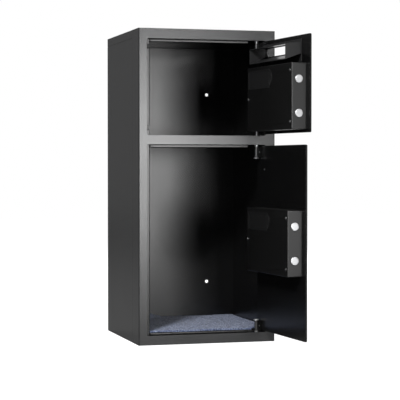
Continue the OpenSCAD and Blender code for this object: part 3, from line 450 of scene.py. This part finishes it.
def make_fibres(count):
    """Stray fibres that lie on the felt and stand out of its front rim."""
    rand = random.Random(7)
    points, faces = [], []
    for number in range(count):
        on_rim = number % RIM_SHARE == 0
        x = rand.uniform(MAT_X[0] + 6, MAT_NOTCH[0] - 6 if on_rim else MAT_X[1] - 6)
        if on_rim:
            x += 3.5 * noise.noise(Vector((x, 3, 0)) / 3)
        y = MAT_Y[0] + 0.4 if on_rim else rand.uniform(MAT_NOTCH[1] + 2, MAT_Y[1] - 6)
        heading = rand.uniform(0, 2 * math.pi)
        turn = rand.uniform(-0.6, 0.6)
        length = rand.uniform(1.5, 5.0) * (0.45 if on_rim else 1.0)
        for k in range(FIBRE_STEPS + 1):
            lift = 0.12 + 0.35 * math.sin(math.pi * k / FIBRE_STEPS) * rand.uniform(0.5, 1.0)
            z = mat_low(x, y) + MAT_T - 0.15 + lift
            half = (RIM_TUFT if on_rim else FINE_FIBRE) * (1 - 0.6 * k / FIBRE_STEPS)
            side = (-math.sin(heading) * half, math.cos(heading) * half)
            points.append(((x + side[0]) * MM, (y + side[1]) * MM, z * MM))
            points.append(((x - side[0]) * MM, (y - side[1]) * MM, z * MM))
            points.append((x * MM, y * MM, (z + 1.6 * half) * MM))
            base = len(points) - 3
            if k:
                for a, b in ((0, 1), (1, 2), (2, 0)):
                    faces.append((base - 3 + a, base - 3 + b, base + b, base + a))
            else:
                faces.append((base + 2, base + 1, base))
            if k == FIBRE_STEPS:
                faces.append((base, base + 1, base + 2))
            x += math.cos(heading) * length / FIBRE_STEPS
            y += math.sin(heading) * length / FIBRE_STEPS
            heading += turn
    data = bpy.data.meshes.new("felt_fibres")
    data.from_pydata(points, [], faces)
    # The fibre finish is the felt lightened as a painted highlight.
    data.materials.append(MATERIALS["fibre"])
    fibres = bpy.data.objects.new("felt_fibres", data)
    bpy.context.scene.collection.objects.link(fibres)
    return fibres


def lay_mat():
    """Lays the felt and its fibres in place of the CAD's plain mat."""
    mat = make_mat()
    fibres = make_fibres(FIBRE_COUNT)
    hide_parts("floor_mat")
    for piece in (mat, fibres):
        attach(piece, "safe_body")


# Sealed seam
SEAM_X = (-0.1715, 0.1715)
BEAD_R = 0.0010
BEAD_STEPS = 120
BEAD_SIDES = 8


def seal_seam():
    """The paint-filled bead in the corner between the ceiling and the back panel, near-black as painted
    shade for that corner.
    """
    low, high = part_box("back_panel")
    inner_y = low[1]
    points, faces = [], []
    for i in range(BEAD_STEPS + 1):
        x = SEAM_X[0] + (SEAM_X[1] - SEAM_X[0]) * i / BEAD_STEPS
        radius = BEAD_R + 0.1 * BEAD_R * noise.noise(Vector((x * 90, 0, 0)))
        for k in range(BEAD_SIDES):
            turn = 2 * math.pi * k / BEAD_SIDES
            points.append((x, inner_y + radius * math.cos(turn), high[2] + radius * math.sin(turn)))
        if i:
            for k in range(BEAD_SIDES):
                a, b = (i - 1) * BEAD_SIDES + k, (i - 1) * BEAD_SIDES + (k + 1) % BEAD_SIDES
                faces.append((a, b, b + BEAD_SIDES, a + BEAD_SIDES))
    faces.append(tuple(reversed(range(BEAD_SIDES))))
    faces.append(tuple(range(BEAD_STEPS * BEAD_SIDES, (BEAD_STEPS + 1) * BEAD_SIDES)))
    data = bpy.data.meshes.new("seam_bead")
    data.from_pydata(points, [], faces)
    for face in data.polygons:
        face.use_smooth = True
    # Near-black door paint: painted shade in the corner between ceiling and back panel.
    data.materials.append(MATERIALS["door"])
    bead = bpy.data.objects.new("seam_bead", data)
    bpy.context.scene.collection.objects.link(bead)
    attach(bead, "safe_body")


# Key numbers
KEY_SIGNS = {"clear": "*", "enter": "#"}
KEY_NAMES = ("1", "2", "3", "4", "5", "6", "7", "8", "9", "clear", "0", "enter")
DISH_R = 0.030
DISH_DEPTH = 0.0005
NUMBER_SIZE = 0.0074
NUMBER_HALF_T = 0.0001
NUMBER_RISE = 0.00004


def print_number(sign, name):
    """A raised numeral as a flat mesh around the origin, from the built-in font."""
    words = bpy.data.curves.new(name, "FONT")
    words.body = sign
    words.size = NUMBER_SIZE
    words.extrude = NUMBER_HALF_T
    words.align_x = "CENTER"
    words.align_y = "CENTER"
    drawn = bpy.data.objects.new(name, words)
    bpy.context.scene.collection.objects.link(drawn)
    bpy.context.view_layer.update()
    mesh = bpy.data.meshes.new_from_object(drawn)
    bpy.data.objects.remove(drawn)
    return mesh


def number_keys():
    """Puts each key's number into its dished top, facing out of the door."""
    for door in DOORS:
        for key in KEY_NAMES:
            node = NODES[f"{door}_key_{key}"]
            out = -Vector(JOINTS[f"{door}_key_{key}_press"]["axis"])
            up = Vector((0, 0, 1))
            right = up.cross(out)
            points = [vertex.co for vertex in node.data.vertices]
            spans = [[point.dot(way) for point in points] for way in (right, up, out)]
            middle = [(min(span) + max(span)) / 2 for span in spans[:2]]
            name = f"{door}_number_{key}"
            mesh = print_number(KEY_SIGNS.get(key, key), name)
            low = min(vertex.co.y for vertex in mesh.vertices)
            high = max(vertex.co.y for vertex in mesh.vertices)
            for vertex in mesh.vertices:
                x, y = vertex.co.x, vertex.co.y - (low + high) / 2
                dish = max(0.0, DISH_DEPTH - (x * x + y * y) / (2 * DISH_R))
                height = max(spans[2]) - dish + vertex.co.z + NUMBER_RISE
                vertex.co = right * (middle[0] + x) + up * (middle[1] + y) + out * height
            mesh.materials.clear()
            mesh.materials.append(MATERIALS["legend"])
            number = bpy.data.objects.new(name, mesh)
            bpy.context.scene.collection.objects.link(number)
            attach(number, f"{door}_pad_key_{key}")


# Stage
SIDE_GLOW = 0.15
FLOOR_GLOW = 0.03
FLOOR_WHITE = 0.86
WORLD_DIM = 0.30
BACKDROP_EDGES = ((-0.10, 0.06), (0.62, 0.45))
FLOOR_HALF = 8.0
LIGHT_TARGET = (0.0, -0.1, 0.45)
LIGHTS = (
    ("key", (0.66, -3.6, 0.52), 0.7, 0.95, 36),
    ("fill", (-1.68, -2.48, 2.3), 0.5, 0.5, 105),
    ("back", (2.0, 2.6, 1.9), 1.2, 1.2, 70),
)


def backdrop_glow(graph, direction, low):
    """Brightness that reflections see: white behind the object as it is photographed, low elsewhere."""
    axes = graph.add("ShaderNodeSeparateXYZ")
    graph.link(direction, axes.inputs[0])
    angle = graph.add("ShaderNodeMath", operation="ARCTAN2")
    graph.link(axes.outputs["X"], angle.inputs[0])
    graph.link(axes.outputs["Y"], angle.inputs[1])
    level = None
    for edge_low, edge_high in BACKDROP_EDGES:
        side = graph.add("ShaderNodeMapRange", interpolation_type="SMOOTHSTEP")
        graph.put(side, Value=angle.outputs[0], From_Min=edge_low, From_Max=edge_high)
        if level is None:
            level = side.outputs["Result"]
        else:
            both = graph.add("ShaderNodeMath", operation="MULTIPLY")
            graph.link(level, both.inputs[0])
            graph.link(side.outputs["Result"], both.inputs[1])
            level = both.outputs[0]
    return graph.spread(level, low, 1.0, 0.0, 1.0)


def studio_level(graph, direction, dim, low, white):
    """Level of the white studio: white to the camera, glow to reflections, dim as a light."""
    path = graph.add("ShaderNodeLightPath")
    mirrored = graph.add("ShaderNodeMath", operation="MAXIMUM")
    graph.link(path.outputs["Is Glossy Ray"], mirrored.inputs[0])
    graph.link(path.outputs["Is Transmission Ray"], mirrored.inputs[1])
    level = blend_values(graph, mirrored.outputs[0], dim, backdrop_glow(graph, direction, low))
    return blend_values(graph, path.outputs["Is Camera Ray"], level, white)


def make_world():
    """A white studio around the object."""
    world = bpy.data.worlds.new("studio")
    bpy.context.scene.world = world
    world.use_nodes = True
    graph = Graph(world.node_tree)
    background = graph.add("ShaderNodeBackground")
    graph.put(background, Color=(1.0, 1.0, 1.0, 1.0))
    direction = graph.add("ShaderNodeTexCoord").outputs["Generated"]
    graph.link(studio_level(graph, direction, WORLD_DIM, SIDE_GLOW, 1.0), background.inputs["Strength"])
    graph.link(background.outputs[0], graph.add("ShaderNodeOutputWorld").inputs["Surface"])


def make_floor():
    """A white studio floor that keeps a faint shadow."""
    mesh = bpy.data.meshes.new("floor")
    half = FLOOR_HALF
    corners = [(-half, -half, 0), (half, -half, 0), (half, half, 0), (-half, half, 0)]
    mesh.from_pydata(corners, [], [(0, 1, 2, 3)])
    floor = bpy.data.objects.new("floor", mesh)
    bpy.context.scene.collection.objects.link(floor)
    material = bpy.data.materials.new("floor")
    material.use_nodes = True
    graph = Graph(material.node_tree)
    seen = graph.add("ShaderNodeLightPath").outputs["Is Camera Ray"]
    diffuse = graph.add("ShaderNodeBsdfDiffuse")
    graph.put(diffuse, Color=graph.mix_colour(seen, grey(0.20), grey(0.50)))
    glow = graph.add("ShaderNodeEmission")
    place = graph.add("ShaderNodeTexCoord").outputs["Object"]
    graph.link(studio_level(graph, place, 0.0, FLOOR_GLOW, FLOOR_WHITE), glow.inputs["Strength"])
    both = graph.add("ShaderNodeAddShader")
    graph.link(diffuse.outputs[0], both.inputs[0])
    graph.link(glow.outputs[0], both.inputs[1])
    graph.link(both.outputs[0], graph.add("ShaderNodeOutputMaterial").inputs["Surface"])
    mesh.materials.append(material)


def softbox(name, place, width, height, power):
    """A rectangular light that faces the middle of the cabinet."""
    data = bpy.data.lights.new(name, "AREA")
    data.shape = "RECTANGLE"
    data.size = width
    data.size_y = height
    data.energy = power
    light = bpy.data.objects.new(name, data)
    light.location = place
    light.rotation_euler = (Vector(LIGHT_TARGET) - Vector(place)).to_track_quat("-Z", "Y").to_euler()
    bpy.context.scene.collection.objects.link(light)


bpy.context.scene.view_settings.view_transform = "Standard"
make_camera()
make_world()
make_floor()
for light_settings in LIGHTS:
    softbox(*light_settings)
dress_nodes()
lay_mat()
number_keys()
seal_seam()
